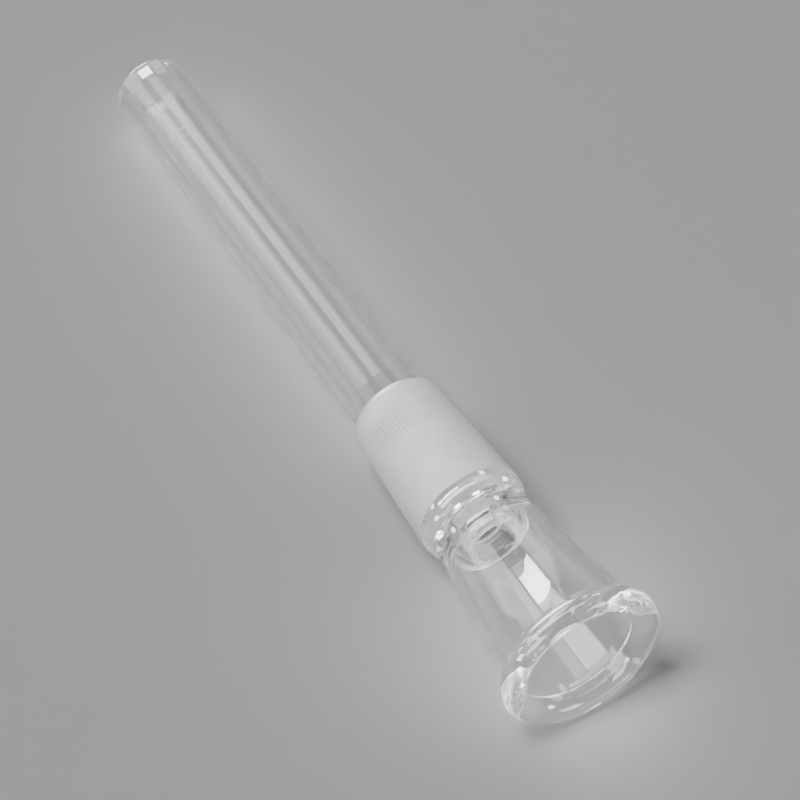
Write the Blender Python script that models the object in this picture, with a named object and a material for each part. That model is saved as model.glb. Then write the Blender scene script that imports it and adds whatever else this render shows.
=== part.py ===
"""A glass funnel stem with a male ground joint, lying on a table.

The piece is turned glass: a long stem tube, a tapered ground joint, a narrow throat and a flared bowl
with a thick rolled lip. Each length a glassblower fuses on is its own solid, made by turning a closed
profile about the stem's axis. Along that axis, x = 0 is the polished tip and x grows towards the mouth.

The finished piece lies on z = 0 and touches it with the lip and the tip, so its axis rises a little
towards the mouth. The mouth faces +X, and the origin is under the middle of the box round it.
Units are metres.
"""

import math

import bmesh
import bpy
from mathutils import Matrix, Vector

MM = 0.001

# Stem tube: a plain tube whose far end is fire-polished round.
STEM_RADIUS = 6.6 * MM
STEM_BORE = 4.7 * MM
STEM_END = 91.5 * MM

# Ground joint: 1 in 10 on the diameter and 18.8 mm across at the big end.
JOINT_BIG_RADIUS = 9.4 * MM
JOINT_BIG_END = 116.0 * MM
JOINT_TAPER = 0.05
JOINT_WALL = 1.9 * MM
TOE_LENGTH = 1.9 * MM
BORE_FLARE_END = 96.0 * MM

# Clear shoulder that rounds the joint's big end down to the neck.
SHOULDER_END = 118.9 * MM
NECK_RADIUS = 8.25 * MM

# Neck: a low ring of solid glass with the throat hole through it.
RING_CREST = 121.2 * MM
RING_RADIUS = 8.52 * MM
THROAT_RADIUS = 3.5 * MM

# Bowl floor: a shallow groove inside the wall, then a rounded collar that stands up round the hole.
FLOOR_GROOVE = 123.2 * MM
FLOOR_GROOVE_RADIUS = 6.4 * MM
COLLAR_CREST = 124.3 * MM
COLLAR_RADIUS = 4.5 * MM

# Bowl: a flared wall that eases off a little towards the lip.
BOWL_FOOT = 123.5 * MM
BOWL_FOOT_RADIUS = 8.81 * MM
BOWL_FLARE = 0.155
BOWL_EASE = 0.85
BOWL_BOTTOM_END = 126.0 * MM
BOWL_WALL = 1.9 * MM
BOWL_END = 146.4 * MM

# Lip: a round bead rolled at the bowl's edge.
LIP_CENTRE = 149.3 * MM
LIP_CENTRE_RADIUS = 11.95 * MM
LIP_BEAD = 2.1 * MM

# Clear space between neighbouring solids, and the number of flats round each one.
GAP = 0.3 * MM
SIDES = 48


def arc(centre, along, out, start_deg, end_deg, steps):
    """Points (x, radius) on an ellipse about centre; 0 degrees is +x and 90 degrees is outwards."""
    points = []
    for step in range(steps + 1):
        angle = math.radians(start_deg + (end_deg - start_deg) * step / steps)
        points.append((centre[0] + along * math.cos(angle), centre[1] + out * math.sin(angle)))
    return points


def ground_radius(x):
    """Outer radius of the joint's taper at x."""
    return JOINT_BIG_RADIUS - JOINT_TAPER * (JOINT_BIG_END - x)


def bowl_radius(x):
    """Outer radius of the bowl's wall at x."""
    height = x - BOWL_FOOT
    return BOWL_FOOT_RADIUS + BOWL_FLARE * height - BOWL_EASE * height * height


def lying_pose():
    """Turn and shift that lay the axis down on the lip and the tip, box centred over the origin."""
    polish = (STEM_RADIUS - STEM_BORE) / 2
    tip_radius = (STEM_RADIUS + STEM_BORE) / 2
    reach = LIP_CENTRE - polish
    rise = LIP_CENTRE_RADIUS - tip_radius
    tilt = math.atan2(rise, reach) + math.asin((LIP_BEAD - polish) / math.hypot(reach, rise))
    lowest = LIP_CENTRE * math.sin(tilt) - LIP_CENTRE_RADIUS * math.cos(tilt) - LIP_BEAD
    back = polish * math.cos(tilt) - tip_radius * math.sin(tilt) - polish
    front = LIP_CENTRE * math.cos(tilt) + LIP_CENTRE_RADIUS * math.sin(tilt) + LIP_BEAD
    shift = Vector((-(back + front) / 2, 0.0, -lowest))
    return Matrix.Translation(shift) @ Matrix.Rotation(-tilt, 4, "Y")


def stem_tube():
    """Plain tube, its wall rounded over at the tip."""
    polish = (STEM_RADIUS - STEM_BORE) / 2
    tip = arc((polish, (STEM_RADIUS + STEM_BORE) / 2), polish, polish, 90, 270, 8)
    return tip + [(STEM_END, STEM_BORE), (STEM_END, STEM_RADIUS)]


def ground_joint():
    """Tapered joint tube; its toe rounds down to the stem and its bore flares out from the stem's."""
    start = STEM_END + GAP
    toe_end = STEM_END + TOE_LENGTH
    toe_height = ground_radius(toe_end) - STEM_RADIUS
    toe = arc((toe_end, STEM_RADIUS), toe_end - start, toe_height, 180, 90, 6)
    outer = toe + [(JOINT_BIG_END, JOINT_BIG_RADIUS)]
    flare_radius = ground_radius(BORE_FLARE_END) - JOINT_WALL
    middle = ((start + BORE_FLARE_END) / 2, (STEM_BORE + flare_radius) / 2)
    inner = [
        (JOINT_BIG_END, JOINT_BIG_RADIUS - JOINT_WALL),
        (BORE_FLARE_END, flare_radius),
        middle,
        (start, STEM_BORE),
    ]
    return outer + inner


def joint_shoulder():
    """Clear ring: rounded outside from the taper to the neck, domed inside down to the throat."""
    start = JOINT_BIG_END + GAP
    length = SHOULDER_END - start
    outer = arc((start, NECK_RADIUS), length, JOINT_BIG_RADIUS - NECK_RADIUS, 90, 0, 6)
    bore = JOINT_BIG_RADIUS - JOINT_WALL
    dome = [
        (SHOULDER_END, THROAT_RADIUS),
        (SHOULDER_END - 0.5 * MM, THROAT_RADIUS + 0.3 * MM),
        (SHOULDER_END - 0.8 * MM, THROAT_RADIUS + 1.1 * MM),
        (SHOULDER_END - 1.4 * MM, bore - 1.5 * MM),
        (start, bore),
    ]
    return outer + dome


def bowl_throat():
    """Solid glass ring round the throat hole, with the bowl's floor on its mouth side."""
    start = SHOULDER_END + GAP
    outer = [
        (start, NECK_RADIUS),
        (SHOULDER_END + 1.0 * MM, NECK_RADIUS + 0.2 * MM),
        (RING_CREST, RING_RADIUS),
        (BOWL_FOOT - 0.9 * MM, RING_RADIUS - 0.04 * MM),
        (BOWL_FOOT, BOWL_FOOT_RADIUS),
        (BOWL_BOTTOM_END, bowl_radius(BOWL_BOTTOM_END)),
    ]
    floor = [
        (BOWL_BOTTOM_END, bowl_radius(BOWL_BOTTOM_END) - BOWL_WALL),
        (FLOOR_GROOVE + 0.8 * MM, FLOOR_GROOVE_RADIUS + 0.6 * MM),
        (FLOOR_GROOVE, FLOOR_GROOVE_RADIUS),
        (FLOOR_GROOVE + 0.4 * MM, COLLAR_RADIUS + 0.9 * MM),
    ]
    collar = [
        (COLLAR_CREST, COLLAR_RADIUS),
        (COLLAR_CREST - 0.4 * MM, THROAT_RADIUS + 0.3 * MM),
        (COLLAR_CREST - 1.3 * MM, THROAT_RADIUS),
        (start, THROAT_RADIUS),
    ]
    return outer + floor + collar


def bowl_cone():
    """Gently curved, flared wall of the bowl."""
    start = BOWL_BOTTOM_END + GAP
    rows = [start + (BOWL_END - start) * step / 4 for step in range(5)]
    outer = [(x, bowl_radius(x)) for x in rows]
    inner = [(x, bowl_radius(x) - BOWL_WALL) for x in reversed(rows)]
    return outer + inner


def bowl_lip():
    """Round bead on a short length of the bowl's wall."""
    start = BOWL_END + GAP
    bead = arc((LIP_CENTRE, LIP_CENTRE_RADIUS), LIP_BEAD, LIP_BEAD, 177, -118, 16)
    return [(start, bowl_radius(start))] + bead + [(start, bowl_radius(start) - BOWL_WALL)]


def glass(name, colour, roughness):
    """Material of one part: a Principled BSDF, not metallic."""
    material = bpy.data.materials.new(name)
    material.use_nodes = True
    shader = material.node_tree.nodes["Principled BSDF"]
    shader.inputs["Base Color"].default_value = (*colour, 1.0)
    shader.inputs["Roughness"].default_value = roughness
    shader.inputs["Metallic"].default_value = 0.0
    material.diffuse_color = (*colour, 1.0)
    return material


def turn(name, profile, material, pose):
    """Turn a closed profile of (x, radius) points once about the axis and lay the solid down."""
    mesh_bm = bmesh.new()
    first = math.pi / SIDES
    loop = []
    for x, radius in profile:
        place = Vector((x, radius * math.sin(first), -radius * math.cos(first)))
        loop.append(mesh_bm.verts.new(place))
    edges = []
    for index, vert in enumerate(loop):
        edges.append(mesh_bm.edges.new((vert, loop[(index + 1) % len(loop)])))
    bmesh.ops.spin(
        mesh_bm,
        geom=loop + edges,
        cent=(0, 0, 0),
        axis=(1, 0, 0),
        dvec=(0, 0, 0),
        angle=2 * math.pi,
        steps=SIDES,
        use_merge=True,
        use_duplicate=False,
    )
    bmesh.ops.remove_doubles(mesh_bm, verts=mesh_bm.verts, dist=0.00001)
    bmesh.ops.transform(mesh_bm, matrix=pose, verts=mesh_bm.verts)
    bmesh.ops.recalc_face_normals(mesh_bm, faces=mesh_bm.faces)
    mesh = bpy.data.meshes.new(name)
    mesh_bm.to_mesh(mesh)
    mesh_bm.free()
    mesh.shade_smooth()
    mesh.set_sharp_from_angle(angle=math.radians(50))
    mesh.materials.append(material)
    solid = bpy.data.objects.new(name, mesh)
    bpy.context.scene.collection.objects.link(solid)
    return solid


def main():
    for old in list(bpy.data.objects):
        bpy.data.objects.remove(old, do_unlink=True)
    pose = lying_pose()
    clear = (0.93, 0.95, 0.95)
    turn("stem_tube", stem_tube(), glass("stem_glass", clear, 0.03), pose)
    turn("ground_joint", ground_joint(), glass("ground_glass", (0.80, 0.81, 0.81), 0.55), pose)
    turn("joint_shoulder", joint_shoulder(), glass("shoulder_glass", clear, 0.03), pose)
    turn("bowl_throat", bowl_throat(), glass("throat_glass", clear, 0.03), pose)
    turn("bowl_cone", bowl_cone(), glass("bowl_glass", clear, 0.03), pose)
    turn("bowl_lip", bowl_lip(), glass("lip_glass", clear, 0.03), pose)


main()
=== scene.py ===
# %% [markdown]
# # A glass funnel stem with a ground joint
#
# The object is one piece of flame-worked borosilicate glass lying on a plain table: a long open stem
# tube, a tapered ground joint that seats in a socket, a necked-in throat and a flared bowl with a
# thick rolled lip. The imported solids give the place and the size. This script turns each length of
# glass again with a fine, smooth profile and gives it real glass materials.

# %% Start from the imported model
import math

import bmesh
import bpy
from mathutils import Matrix, Vector, noise


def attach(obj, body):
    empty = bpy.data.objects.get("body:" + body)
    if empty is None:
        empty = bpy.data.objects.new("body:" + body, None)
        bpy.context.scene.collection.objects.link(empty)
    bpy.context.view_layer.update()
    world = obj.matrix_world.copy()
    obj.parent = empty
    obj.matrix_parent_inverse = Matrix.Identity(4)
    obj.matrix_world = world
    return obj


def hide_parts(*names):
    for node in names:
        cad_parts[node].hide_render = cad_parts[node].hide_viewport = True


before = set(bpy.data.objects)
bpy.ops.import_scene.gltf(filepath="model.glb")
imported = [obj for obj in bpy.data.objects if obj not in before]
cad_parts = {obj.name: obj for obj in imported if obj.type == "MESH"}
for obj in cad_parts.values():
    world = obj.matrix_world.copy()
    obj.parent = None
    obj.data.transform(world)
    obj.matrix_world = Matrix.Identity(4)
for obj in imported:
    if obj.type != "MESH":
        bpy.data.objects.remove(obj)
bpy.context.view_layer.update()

MM = 0.001
print("solids:", sorted(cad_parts))

# %% [markdown]
# ## The camera
#
# The camera stands on the mouth's side and looks down at the table at about 51 degrees, level, from
# half a metre away. A long lens that near the object still shows the lip larger than the tip, so the
# distance matters as much as the angle.

# %% Camera
CAMERA_PLACE = Vector((0.2870, -0.1527, 0.4028))
CAMERA_AIM = Vector((0.01446, 0.00151, 0.0120))
CAMERA_LENS = 136.4

camera = bpy.data.objects.new("camera", bpy.data.cameras.new("camera"))
bpy.context.scene.collection.objects.link(camera)
camera.data.sensor_width = 36.0
camera.data.lens = CAMERA_LENS
camera.data.clip_start = 0.01
camera.location = CAMERA_PLACE
camera.rotation_euler = (CAMERA_AIM - CAMERA_PLACE).to_track_quat("-Z", "Y").to_euler()
bpy.context.scene.camera = camera
print("camera distance in mm:", round((CAMERA_AIM - CAMERA_PLACE).length / MM))

# %% [markdown]
# ## The turning axis
#
# Everything is turned about one axis, which starts at the polished tip and points to the mouth. The
# piece lies on its lip and its tip, and the lip is wider, so the axis rises a few degrees. Profiles
# are drawn as (x, radius) along a level axis, and one matrix lays each finished mesh down. The same
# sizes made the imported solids, so the glass lands on them.

# %% Sizes along the axis, and the lying pose
STEM_RADIUS = 6.6 * MM
STEM_BORE = 4.7 * MM
STEM_END = 91.5 * MM
JOINT_BIG_RADIUS = 9.4 * MM
JOINT_BIG_END = 116.0 * MM
JOINT_TAPER = 0.05
JOINT_WALL = 1.9 * MM
TOE_LENGTH = 1.9 * MM
SHOULDER_END = 118.9 * MM
NECK_RADIUS = 8.25 * MM
RING_CREST = 121.2 * MM
RING_RADIUS = 8.52 * MM
FLOOR_GROOVE = 123.2 * MM
FLOOR_GROOVE_RADIUS = 6.4 * MM
COLLAR_CREST = 124.3 * MM
COLLAR_RADIUS = 4.5 * MM
THROAT_RADIUS = 3.5 * MM
BOWL_FOOT = 123.5 * MM
BOWL_FOOT_RADIUS = 8.81 * MM
BOWL_FLARE = 0.155
BOWL_EASE = 0.85
BOWL_BOTTOM_END = 126.0 * MM
BOWL_WALL = 1.9 * MM
BOWL_END = 146.4 * MM
LIP_CENTRE = 149.3 * MM
LIP_CENTRE_RADIUS = 11.95 * MM
LIP_BEAD = 2.1 * MM
POLISH = (STEM_RADIUS - STEM_BORE) / 2


def lying_pose():
    """Matrix that lays the level axis down on the lip and the tip, its box over the origin."""
    tip_radius = (STEM_RADIUS + STEM_BORE) / 2
    reach = LIP_CENTRE - POLISH
    rise = LIP_CENTRE_RADIUS - tip_radius
    tilt = math.atan2(rise, reach) + math.asin((LIP_BEAD - POLISH) / math.hypot(reach, rise))
    lowest = LIP_CENTRE * math.sin(tilt) - LIP_CENTRE_RADIUS * math.cos(tilt) - LIP_BEAD
    back = POLISH * math.cos(tilt) - tip_radius * math.sin(tilt) - POLISH
    front = LIP_CENTRE * math.cos(tilt) + LIP_CENTRE_RADIUS * math.sin(tilt) + LIP_BEAD
    shift = Vector((-(back + front) / 2, 0.0, -lowest))
    return Matrix.Translation(shift) @ Matrix.Rotation(-tilt, 4, "Y")


POSE = lying_pose()
print("tip at", [round(v / MM, 2) for v in POSE @ Vector((0, 0, 0))])

# %% [markdown]
# ## Shader maths as plain expressions
#
# A finish is a graph of nodes. Writing it as expressions is easier to read: this class wraps one
# output socket, and adding or multiplying it adds the Math nodes behind the scenes. Every other node
# comes from one method that takes its type, its settings and its inputs.


# %% Node helpers
class Value:
    """A number that varies over a surface."""

    def __init__(self, finish, socket):
        self.finish = finish
        self.socket = socket

    def maths(self, operation, *terms):
        inputs = dict(enumerate(terms))
        node = self.finish.node("ShaderNodeMath", {"operation": operation}, inputs)
        return Value(self.finish, node.outputs[0])

    def __add__(self, other):
        return self.maths("ADD", self, other)

    def __radd__(self, other):
        return self.maths("ADD", other, self)

    def __sub__(self, other):
        return self.maths("SUBTRACT", self, other)

    def __rsub__(self, other):
        return self.maths("SUBTRACT", other, self)

    def __mul__(self, other):
        return self.maths("MULTIPLY", self, other)

    def __rmul__(self, other):
        return self.maths("MULTIPLY", other, self)

    def ramp(self, low, high):
        """0 below low, 1 above high, smooth between."""
        settings = {"interpolation_type": "SMOOTHSTEP"}
        inputs = {"Value": self, "From Min": low, "From Max": high}
        return Value(self.finish, self.finish.node("ShaderNodeMapRange", settings, inputs).outputs[0])


class Finish:
    """One material and the nodes in it."""

    def __init__(self, name):
        self.material = bpy.data.materials.new(name)
        self.material.use_nodes = True
        self.tree = self.material.node_tree
        self.tree.nodes.clear()

    def node(self, kind, settings=None, inputs=None):
        made = self.tree.nodes.new(kind)
        for key, setting in (settings or {}).items():
            setattr(made, key, setting)
        for key, value in (inputs or {}).items():
            socket = made.inputs[key]
            if isinstance(value, Value):
                self.tree.links.new(value.socket, socket)
            elif isinstance(value, bpy.types.NodeSocket):
                self.tree.links.new(value, socket)
            else:
                socket.default_value = value
        return made

    def along(self, scale=(1.0, 1.0, 1.0)):
        """Object coordinates with x along the turning axis, in units of 1 / scale metres."""
        place = self.node("ShaderNodeTexCoord").outputs["Object"]
        tilt = POSE.inverted().to_euler()
        settings = {"vector_type": "POINT"}
        inputs = {"Vector": place, "Location": POSE.inverted().translation, "Rotation": tilt}
        level = self.node("ShaderNodeMapping", settings, inputs).outputs["Vector"]
        return self.node("ShaderNodeMapping", settings, {"Vector": level, "Scale": scale}).outputs["Vector"]

    def noise(self, vector, scale, detail=2.0, roughness=0.5, distortion=0.0):
        inputs = {"Vector": vector, "Scale": scale, "Detail": detail,
                  "Roughness": roughness, "Distortion": distortion}
        return Value(self, self.node("ShaderNodeTexNoise", None, inputs).outputs[0])

    def part(self, vector, axis):
        """One coordinate of a place."""
        return Value(self, self.node("ShaderNodeSeparateXYZ", None, {0: vector}).outputs[axis])

    def away(self, vector, place):
        """Distance from a place."""
        settings, inputs = {"operation": "DISTANCE"}, {0: vector, 1: place}
        return Value(self, self.node("ShaderNodeVectorMath", settings, inputs).outputs["Value"])

    def lines(self, vector, spacing, distortion):
        """Fine wavy lines, spacing apart, that run along the turning axis."""
        settings = {"wave_type": "BANDS", "bands_direction": "Y"}
        inputs = {"Vector": vector, "Scale": math.pi / 10 / spacing, "Distortion": distortion,
                  "Detail": 1.0, "Detail Scale": 0.6}
        return Value(self, self.node("ShaderNodeTexWave", settings, inputs).outputs["Fac"])

    def blend(self, mask, colour, other):
        """colour where mask is 0 and other where it is 1."""
        settings = {"data_type": "RGBA"}
        return self.node("ShaderNodeMix", settings, {0: mask, 6: colour, 7: other}).outputs[2]

    def bump(self, height, distance, strength=1.0):
        inputs = {"Height": height, "Distance": distance, "Strength": strength}
        return self.node("ShaderNodeBump", None, inputs).outputs["Normal"]

    def output(self, shader):
        self.node("ShaderNodeOutputMaterial", None, {"Surface": shader})
        return self.material


print("pattern axes turned by", [round(math.degrees(a), 2) for a in POSE.inverted().to_euler()])

# %% [markdown]
# ## Clear glass
#
# Borosilicate glass is colourless, smooth and bends light with an index of 1.47. Drawn tube is never
# optically flat: it has long, very shallow waves along its length. Handling leaves fine hairline
# scratches and specks of dust that catch the light. The waves are bump, the dust is a thin second
# shader mixed in where a mask is bright.


# %% Clear glass
def clear_glass(name, wave_height, wave_scale):
    finish = Finish(name)
    level = finish.along()
    drawn = finish.noise(finish.along(wave_scale), 1.0, 1.5)
    specks = finish.noise(finish.along((1, 1, 1)), 1900.0, 1.0, 0.4).ramp(0.80, 0.84)
    clouds = finish.noise(level, 90.0, 3.0).ramp(0.45, 0.75)
    hairs = finish.noise(finish.along((300, 5200, 5200)), 1.0, 2.0, 0.6, 0.6).ramp(0.72, 0.80)
    haze = specks * clouds * 0.5 + hairs * clouds * 0.05
    glass = finish.node("ShaderNodeBsdfPrincipled", None, {
        "Base Color": (0.985, 0.992, 0.99, 1),
        "Roughness": clouds * 0.02,
        "IOR": 1.47,
        "Transmission Weight": 1.0,
        "Normal": finish.bump(drawn, wave_height),
    }).outputs[0]
    dust = finish.node("ShaderNodeBsdfPrincipled", None, {
        "Base Color": (0.86, 0.85, 0.82, 1),
        "Roughness": 0.7,
    }).outputs[0]
    mixed = finish.node("ShaderNodeMixShader", None, {"Fac": haze, 1: glass, 2: dust}).outputs[0]
    return finish.output(mixed)


TUBE_GLASS = clear_glass("drawn_tube_glass", 0.02 * MM, (14, 260, 260))
WORKED_GLASS = clear_glass("flame_worked_glass", 0.03 * MM, (120, 160, 160))
print("glass:", TUBE_GLASS.name, WORKED_GLASS.name)

# %% [markdown]
# ## Fused seams
#
# Where two lengths of glass were fused there is no surface at all, but each piece here is its own
# closed mesh and so has a flat end at the seam. A Transparent shader on those ends lets light pass
# straight on, without bending, into the next piece, whose end lies in exactly the same place.


# %% Fused ends
def fused_end():
    finish = Finish("fused_seam")
    through = finish.node("ShaderNodeBsdfTransparent", None, {"Color": (1, 1, 1, 1)}).outputs[0]
    return finish.output(through)


FUSED_END = fused_end()
print("seams use", FUSED_END.name)

# %% [markdown]
# ## Ground glass
#
# The joint is ground with fine abrasive so that it seals. The grain is far too small to see as
# grains: it shows as an even, satin white that still lets light through. Wet or greasy fingers fill
# the grain and leave darker, clearer marks. The marks here are a soft patch of fine curved lines.
# The rounded toe is painted a brighter cream: a painted highlight of the light behind the piece.


# %% Ground glass
SMUDGE_PLACE = (0.099, -0.0048, 0.0071)


def ground_glass():
    finish = Finish("ground_joint_glass")
    level = finish.along()
    grain = finish.noise(level, 9000.0, 2.0, 0.7)
    turned = finish.noise(finish.along((2600, 120, 120)), 1.0, 2.0)
    mottle = finish.noise(level, 260.0, 4.0, 0.6)
    toe_x = STEM_END + TOE_LENGTH
    # The toe mask paints the rounded toe a brighter cream, a painted highlight of light from behind; it
    # also makes the toe smoother.
    toe = 1 - finish.part(level, "X").ramp(toe_x - 0.2 * MM, toe_x + 0.9 * MM)
    patch = 1 - (finish.away(level, SMUDGE_PLACE) + mottle * 3.0 * MM).ramp(3.0 * MM, 7.2 * MM)
    ridges = finish.lines(level, 0.5 * MM, 7.0).ramp(0.5, 0.85)
    film = patch * (0.35 + ridges * 0.65)
    shade = finish.blend(mottle.ramp(0.3, 0.75), (0.83, 0.84, 0.84, 1), (0.92, 0.92, 0.92, 1))
    marked = finish.blend(film * 0.7, shade, (0.42, 0.43, 0.43, 1))
    body = finish.node("ShaderNodeBsdfPrincipled", None, {
        # Cream where the toe mask is 1: the painted highlight on the toe.
        "Base Color": finish.blend(toe, marked, (1.0, 0.975, 0.93, 1)),
        "Roughness": 0.52 + mottle * 0.1 - film * 0.15 - toe * 0.2,
        "IOR": 1.47,
        "Transmission Weight": 0.12,
        "Normal": finish.bump(grain * 0.6 + turned * 0.4, 0.02 * MM, 0.6),
    }).outputs[0]
    return finish.output(body)


GROUND_GLASS = ground_glass()
print("ground finish:", GROUND_GLASS.name)

# %% [markdown]
# ## Turning a length of glass
#
# A tube worked on a lathe is a profile spun once about its axis. Each length is described as runs of
# points, and each run carries the finish of the surface it makes: clear glass, ground glass or a
# fused end. The runs are spun one by one and then merged where they meet, which closes the piece.
# Hand work is never perfectly round, so the glass also wanders in and out by a few hundredths of a
# millimetre; the amount depends only on the place, so neighbouring lengths still meet exactly.

# %% Profile curves
SIDES = 144
GLASS, FUSED, GROUND = 0, 1, 2


def arc(centre, along, out, start_deg, end_deg, steps=24):
    """Points on an ellipse about centre; 0 degrees is towards the mouth and 90 is outwards."""
    points = []
    for step in range(steps + 1):
        angle = math.radians(start_deg + (end_deg - start_deg) * step / steps)
        points.append((centre[0] + along * math.cos(angle), centre[1] + out * math.sin(angle)))
    return points


def line(start, end, steps=12):
    """Evenly spaced points from start to end."""
    points = []
    for step in range(steps + 1):
        t = step / steps
        points.append((start[0] + (end[0] - start[0]) * t, start[1] + (end[1] - start[1]) * t))
    return points


def ease(start, end, steps=16):
    """An S-shaped run from start to end, level at both ends."""
    points = []
    for step in range(steps + 1):
        t = step / steps
        lift = (1 - math.cos(math.pi * t)) / 2
        points.append((start[0] + (end[0] - start[0]) * t, start[1] + (end[1] - start[1]) * lift))
    return points


def flow(places, steps=10):
    """A smooth curve through a few places, with steps short lines between each two."""
    ends = [places[0]] + list(places) + [places[-1]]
    points = [places[0]]
    for before, start, end, after in zip(ends, ends[1:], ends[2:], ends[3:]):
        for step in range(1, steps + 1):
            t = step / steps
            point = []
            for a, b, c, d in zip(before, start, end, after):
                bend = (2 * a - 5 * b + 4 * c - d) * t * t + (3 * b - a - 3 * c + d) * t * t * t
                point.append(b + ((c - a) * t + bend) / 2)
            points.append(tuple(point))
    return points


def ground_radius(x):
    return JOINT_BIG_RADIUS - JOINT_TAPER * (JOINT_BIG_END - x)


def bowl_radius(x):
    height = x - BOWL_FOOT
    return BOWL_FOOT_RADIUS + BOWL_FLARE * height - BOWL_EASE * height * height


def bowl_wall(start_x, end_x, inset, steps=20):
    """Points along the bowl's gently curved wall, inset from its outside."""
    points = []
    for step in range(steps + 1):
        x = start_x + (end_x - start_x) * step / steps
        points.append((x, bowl_radius(x) - inset))
    return points


print("joint toe radius in mm:", round(ground_radius(STEM_END + TOE_LENGTH) / MM, 2))


# %% The lathe
WANDER_HEIGHT = 0.035 * MM
WANDER_SCALE = (60.0, 110.0, 110.0)
WORKED_START = 112 * MM
WORKED_RAMP = 10 * MM
DRAWN_SHARE = 0.15


def wander(place):
    """How far hand-worked glass strays outwards at a place, in metres; drawn tube strays less."""
    turn = place * Vector(WANDER_SCALE)
    worked = min(max((place.x - WORKED_START) / WORKED_RAMP, DRAWN_SHARE), 1.0)
    return WANDER_HEIGHT * worked * noise.noise(turn)


def lathe(name, node, runs):
    """Spin runs of profile points, each (finish number, points), into one closed piece."""
    mesh = bpy.data.meshes.new(name)
    piece_bm = bmesh.new()
    for slot, points in runs:
        run_bm = bmesh.new()
        verts = [run_bm.verts.new((x, 0.0, radius)) for x, radius in points]
        edges = [run_bm.edges.new(pair) for pair in zip(verts, verts[1:])]
        bmesh.ops.spin(
            run_bm, geom=verts + edges, cent=(0, 0, 0), axis=(1, 0, 0), dvec=(0, 0, 0),
            angle=2 * math.pi, steps=SIDES, use_merge=True, use_duplicate=False,
        )
        for face in run_bm.faces:
            face.material_index = slot
        run_bm.to_mesh(mesh)
        run_bm.free()
        piece_bm.from_mesh(mesh)
    bmesh.ops.remove_doubles(piece_bm, verts=piece_bm.verts, dist=0.0005 * MM)
    bmesh.ops.recalc_face_normals(piece_bm, faces=piece_bm.faces)
    for face in piece_bm.faces:
        face.smooth = True
    for edge in piece_bm.edges:
        slots = {face.material_index for face in edge.link_faces}
        edge.smooth = not (FUSED in slots and len(slots) > 1)
    for vert in piece_bm.verts:
        out = Vector((0.0, vert.co.y, vert.co.z)).normalized()
        vert.co += out * wander(vert.co)
    bmesh.ops.transform(piece_bm, matrix=POSE, verts=piece_bm.verts)
    piece_bm.to_mesh(mesh)
    open_edges = sum(1 for edge in piece_bm.edges if len(edge.link_faces) != 2)
    piece_bm.free()
    piece = bpy.data.objects.new(name, mesh)
    bpy.context.scene.collection.objects.link(piece)
    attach(piece, "root")
    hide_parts(node)
    print(name, "faces:", len(mesh.polygons), "open edges:", open_edges)
    return piece


print("sides round each ring:", SIDES)

# %% [markdown]
# ## The stem
#
# A plain length of drawn tube. Its cut end was held in the flame until the wall rounded over, so the
# tip is a smooth ring with no sharp edge, outside or inside.

# %% Stem
SEAM_ROUND = 0.25 * MM
stem = lathe("stem_glass", "stem_tube", [
    (GLASS, arc((POLISH, STEM_BORE + POLISH), POLISH, POLISH, 90, 270)),
    (GLASS, line((POLISH, STEM_BORE), (STEM_END, STEM_BORE), 24)),
    (FUSED, line((STEM_END, STEM_BORE), (STEM_END, STEM_RADIUS + SEAM_ROUND), 2)),
    (GLASS, arc((STEM_END - SEAM_ROUND, STEM_RADIUS + SEAM_ROUND), SEAM_ROUND, SEAM_ROUND, 0, -90, 6)),
    (GLASS, line((STEM_END - SEAM_ROUND, STEM_RADIUS), (POLISH, STEM_RADIUS), 24)),
])
for finish in (TUBE_GLASS, FUSED_END):
    stem.data.materials.append(finish)

# %% [markdown]
# ## The ground joint
#
# The joint is a tube blown to a taper of one in ten and then ground. Its small end, the toe, rounds
# down on to the stem, and inside it the bore opens out from the stem's bore to the joint's own.

# %% Ground joint
BORE_FLARE_END = 96.0 * MM
toe_x = STEM_END + TOE_LENGTH
toe_foot = STEM_RADIUS + SEAM_ROUND
toe_radius = ground_radius(toe_x)
flare_radius = ground_radius(BORE_FLARE_END) - JOINT_WALL
joint_bore = JOINT_BIG_RADIUS - JOINT_WALL
joint = lathe("joint_glass", "ground_joint", [
    (GROUND, arc((toe_x, toe_foot), TOE_LENGTH, toe_radius - toe_foot, 180, 90, 16)),
    (GROUND, line((toe_x, toe_radius), (JOINT_BIG_END, JOINT_BIG_RADIUS), 10)),
    (FUSED, line((JOINT_BIG_END, JOINT_BIG_RADIUS), (JOINT_BIG_END, joint_bore), 2)),
    (GLASS, line((JOINT_BIG_END, joint_bore), (BORE_FLARE_END, flare_radius), 8)),
    (GLASS, ease((BORE_FLARE_END, flare_radius), (STEM_END + 0.6 * MM, STEM_BORE))),
    (GLASS, line((STEM_END + 0.6 * MM, STEM_BORE), (STEM_END, STEM_BORE), 1)),
    (FUSED, line((STEM_END, STEM_BORE), (STEM_END, STEM_RADIUS + SEAM_ROUND), 2)),
])
for finish in (TUBE_GLASS, FUSED_END, GROUND_GLASS):
    joint.data.materials.append(finish)

# %% [markdown]
# ## The shoulder
#
# Above the ground zone the joint's glass is left clear and rounded down to the neck. Inside, the
# bore closes in a dome towards the narrow throat.

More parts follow.
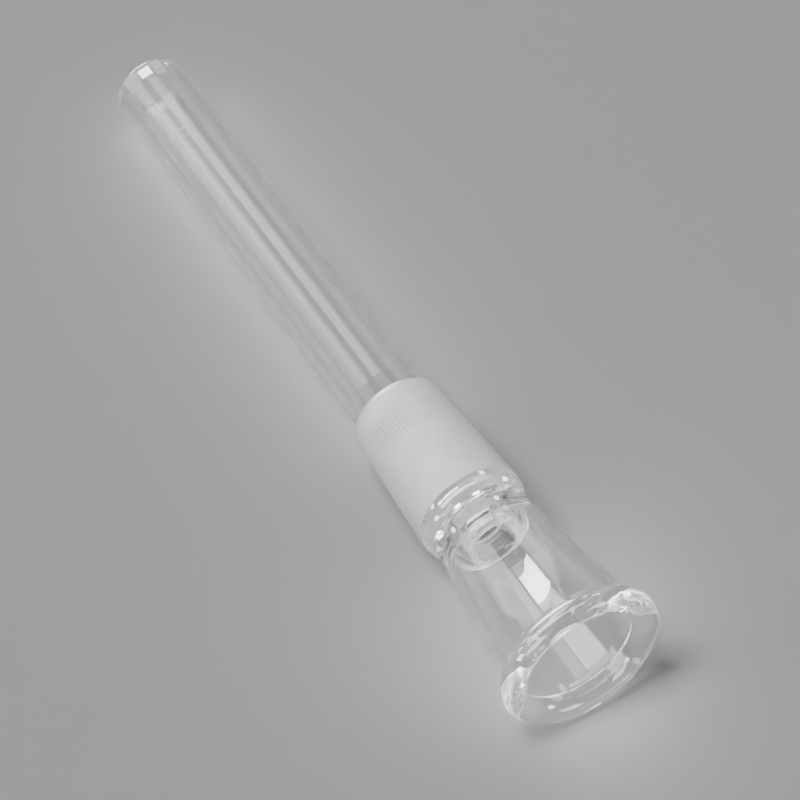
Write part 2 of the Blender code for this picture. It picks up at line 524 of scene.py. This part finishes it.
# %% Shoulder
shoulder_length = SHOULDER_END - JOINT_BIG_END
dome = flow([
    (SHOULDER_END, THROAT_RADIUS),
    (SHOULDER_END - 0.5 * MM, THROAT_RADIUS + 0.3 * MM),
    (SHOULDER_END - 0.8 * MM, THROAT_RADIUS + 1.1 * MM),
    (SHOULDER_END - 1.4 * MM, joint_bore - 1.5 * MM),
    (JOINT_BIG_END, joint_bore),
])
shoulder = lathe("shoulder_glass", "joint_shoulder", [
    (GLASS, arc((JOINT_BIG_END, NECK_RADIUS), shoulder_length, JOINT_BIG_RADIUS - NECK_RADIUS, 90, 0)),
    (FUSED, line((SHOULDER_END, NECK_RADIUS), (SHOULDER_END, THROAT_RADIUS), 4)),
    (GLASS, dome),
    (FUSED, line((JOINT_BIG_END, joint_bore), (JOINT_BIG_END, JOINT_BIG_RADIUS), 2)),
])
for finish in (WORKED_GLASS, FUSED_END):
    shoulder.data.materials.append(finish)

# %% [markdown]
# ## The throat
#
# Here the tube was heated until it closed to a short, thick-walled hole. The solid glass round that
# hole works as a strong lens, so this is where the most light is bent. On the mouth's side it forms
# the bowl's rounded bottom.

# %% Throat
bottom_outer = bowl_radius(BOWL_BOTTOM_END)
bottom_inner = bottom_outer - BOWL_WALL
floor_line = flow([
    (BOWL_BOTTOM_END, bottom_inner),
    (FLOOR_GROOVE + 0.8 * MM, FLOOR_GROOVE_RADIUS + 0.6 * MM),
    (FLOOR_GROOVE, FLOOR_GROOVE_RADIUS),
    (FLOOR_GROOVE + 0.4 * MM, COLLAR_RADIUS + 0.9 * MM),
    (COLLAR_CREST, COLLAR_RADIUS),
    (COLLAR_CREST - 0.4 * MM, THROAT_RADIUS + 0.3 * MM),
    (COLLAR_CREST - 1.3 * MM, THROAT_RADIUS),
    (SHOULDER_END, THROAT_RADIUS),
])
ring = flow([
    (SHOULDER_END, NECK_RADIUS),
    (SHOULDER_END + 1.0 * MM, NECK_RADIUS + 0.2 * MM),
    (RING_CREST, RING_RADIUS),
    (BOWL_FOOT - 0.9 * MM, RING_RADIUS - 0.04 * MM),
    (BOWL_FOOT, BOWL_FOOT_RADIUS),
    (BOWL_BOTTOM_END, bottom_outer),
])
throat = lathe("throat_glass", "bowl_throat", [
    (GLASS, ring),
    (FUSED, line((BOWL_BOTTOM_END, bottom_outer), (BOWL_BOTTOM_END, bottom_inner), 2)),
    (GLASS, floor_line),
    (FUSED, line((SHOULDER_END, THROAT_RADIUS), (SHOULDER_END, NECK_RADIUS), 4)),
])
for finish in (WORKED_GLASS, FUSED_END):
    throat.data.materials.append(finish)

# %% [markdown]
# ## The bowl
#
# The bowl's wall flares quickly at its foot and a little less towards the lip, with the same wall
# thickness all the way up.

# %% Bowl
end_outer = bowl_radius(BOWL_END)
end_inner = end_outer - BOWL_WALL
bowl = lathe("bowl_glass", "bowl_cone", [
    (GLASS, bowl_wall(BOWL_BOTTOM_END, BOWL_END, 0.0)),
    (FUSED, line((BOWL_END, end_outer), (BOWL_END, end_inner), 2)),
    (GLASS, bowl_wall(BOWL_END, BOWL_BOTTOM_END, BOWL_WALL)),
    (FUSED, line((BOWL_BOTTOM_END, bottom_inner), (BOWL_BOTTOM_END, bottom_outer), 2)),
])
for finish in (WORKED_GLASS, FUSED_END):
    bowl.data.materials.append(finish)

# %% [markdown]
# ## The lip
#
# The mouth's edge was softened and rolled into a round bead, thicker than the wall both outwards and
# inwards. It is the brightest part, because a bead of solid glass gathers light from every side.

# %% Lip
bead = arc((LIP_CENTRE, LIP_CENTRE_RADIUS), LIP_BEAD, LIP_BEAD, 177, -118, 48)
lip = lathe("lip_glass", "bowl_lip", [
    (GLASS, line((BOWL_END, end_outer), bead[0], 4)),
    (GLASS, bead),
    (GLASS, line(bead[-1], (BOWL_END, end_inner), 4)),
    (FUSED, line((BOWL_END, end_inner), (BOWL_END, end_outer), 2)),
])
for finish in (WORKED_GLASS, FUSED_END):
    lip.data.materials.append(finish)

# %% [markdown]
# ## The table and the light
#
# Clear glass is seen by what it reflects and bends, so the light is mostly a set of far panels, each
# placed for one highlight. They are so far away that the whole piece sees them in one direction. A
# panel's place is easiest to say about the piece's own axis: how far it stands off the tip's
# direction, and how far round it is turned from straight up. A tube mirrors one such ring of
# directions, and the flared bowl a ring a few degrees nearer the tip, so a bright strip can light the
# bowl and leave most of the stem dark. Only the overhead panel shines directly on the floor.

# %% Floor
FLOOR_TONE = 0.38
FLOOR_REACH = 3.0


def floor():
    stage_bm = bmesh.new()
    bmesh.ops.create_grid(stage_bm, x_segments=1, y_segments=1, size=FLOOR_REACH)
    mesh = bpy.data.meshes.new("floor")
    stage_bm.to_mesh(mesh)
    stage_bm.free()
    plane = bpy.data.objects.new("floor", mesh)
    bpy.context.scene.collection.objects.link(plane)
    finish = Finish("pale_table")
    surface = finish.node("ShaderNodeBsdfPrincipled", None, {
        "Base Color": (FLOOR_TONE, FLOOR_TONE, FLOOR_TONE, 1),
        "Roughness": 0.8,
        "Specular IOR Level": 0.05,
    }).outputs[0]
    mesh.materials.append(finish.output(surface))
    return plane


floor()
print("floor tone:", FLOOR_TONE)

# %% Room
ROOM_LOW = 0.8
ROOM_HIGH = 0.4


def room():
    """A plain room, brightest at the horizon, for the glass to mirror; it does not light the table."""
    world = bpy.data.worlds.new("room")
    bpy.context.scene.world = world
    world.use_nodes = True
    world.cycles_visibility.diffuse = False
    nodes, links = world.node_tree.nodes, world.node_tree.links
    place = nodes.new("ShaderNodeTexCoord")
    height = nodes.new("ShaderNodeSeparateXYZ")
    shade = nodes.new("ShaderNodeMapRange")
    shade.inputs["From Min"].default_value = 0.0
    shade.inputs["From Max"].default_value = 0.9
    shade.inputs["To Min"].default_value = ROOM_LOW
    shade.inputs["To Max"].default_value = ROOM_HIGH
    links.new(place.outputs["Generated"], height.inputs[0])
    links.new(height.outputs["Z"], shade.inputs["Value"])
    links.new(shade.outputs[0], nodes["Background"].inputs["Strength"])
    nodes["Background"].inputs["Color"].default_value = (1.0, 0.985, 0.97, 1)


room()
print("room from", ROOM_LOW, "to", ROOM_HIGH)

# %% Soft panels
# Distance in metres, and how many degrees of turn one flat length covers.
PANEL_AWAY = 30.0
PANEL_STEP = 5


def panel(name, off_axis, turned, glow, tint=(1.0, 1.0, 1.0), lights_floor=False):
    """Bright strip between two off-axis angles and two turns, in degrees, in flat lengths."""
    middle, height = math.radians(sum(off_axis) / 2), math.radians(off_axis[1] - off_axis[0])
    lengths = math.ceil((turned[1] - turned[0]) / PANEL_STEP)
    step = (turned[1] - turned[0]) / lengths
    for number in range(lengths):
        turn = math.radians(turned[0] + step * (number + 0.5))
        side, up = math.sin(middle) * math.sin(turn), math.sin(middle) * math.cos(turn)
        away = POSE.to_3x3() @ Vector((-math.cos(middle), side, up))
        across = (POSE.to_3x3() @ Vector((1, 0, 0))).cross(away).normalized()
        data = bpy.data.lights.new(name, "AREA")
        data.shape = "RECTANGLE"
        data.size = PANEL_AWAY * math.sin(middle) * math.radians(step)
        data.size_y = PANEL_AWAY * height
        data.energy = glow * math.pi * data.size * data.size_y
        data.color = tint
        lamp = bpy.data.objects.new(name, data)
        lamp.location = away * PANEL_AWAY
        lamp.rotation_euler = Matrix((across, away.cross(across), away)).transposed().to_euler()
        lamp.visible_diffuse = lights_floor
        bpy.context.scene.collection.objects.link(lamp)


VIOLET = (1.0, 0.86, 1.0)
WARM = (1.0, 0.93, 0.86)
panel("overhead", (82, 98), (-34, -10), 28.0, lights_floor=True)
panel("overhead_left", (84, 96), (-63, -34), 28.0)
panel("overhead_right", (84, 96), (-10, 21), 28.0)
panel("key_strip", (43.3, 45.7), (-26, 14), 60.0, VIOLET)
panel("inside_strip", (71, 77), (-63, -16), 100.0, VIOLET)
panel("inside_warm", (71, 77), (-14, 8), 4.0, WARM)
panel("stem_left", (46.6, 54), (-73, -38), 3.0, WARM)
panel("stem_right", (46.6, 54), (-13, 20), 3.0, WARM)
panel("bowl_left", (41, 46.6), (-86, -32), 4.0)
panel("bowl_right", (41, 46.6), (20, 57), 4.0)
panel("right_patch", (60, 70), (36, 46), 45.0)
panel("left_patch", (60, 68), (-82, -72), 45.0)
panel("left_edge", (88, 115), (-88, -78), 50.0)
panel("right_edge", (85, 110), (74, 86), 50.0)
panel("front_right", (131, 153), (43, 85), 20.0, VIOLET)
panel("front_left", (118, 149), (-81, -45), 20.0, WARM)
panel("behind_tip", (9, 24), (-70, 50), 50.0)
print("panel lengths:", len(bpy.data.lights))

# %% [markdown]
# ## Finish
#
# Light that enters the thick lip runs round inside it and crosses a hundred surfaces before it gets
# out, and that is what makes the lip's sides glow. A small ray depth would leave them black.

# %% Ray depth
RAY_DEPTH = 160
depth = bpy.context.scene.cycles
depth.max_bounces = RAY_DEPTH
depth.transmission_bounces = RAY_DEPTH
depth.glossy_bounces = RAY_DEPTH
depth.transparent_max_bounces = RAY_DEPTH
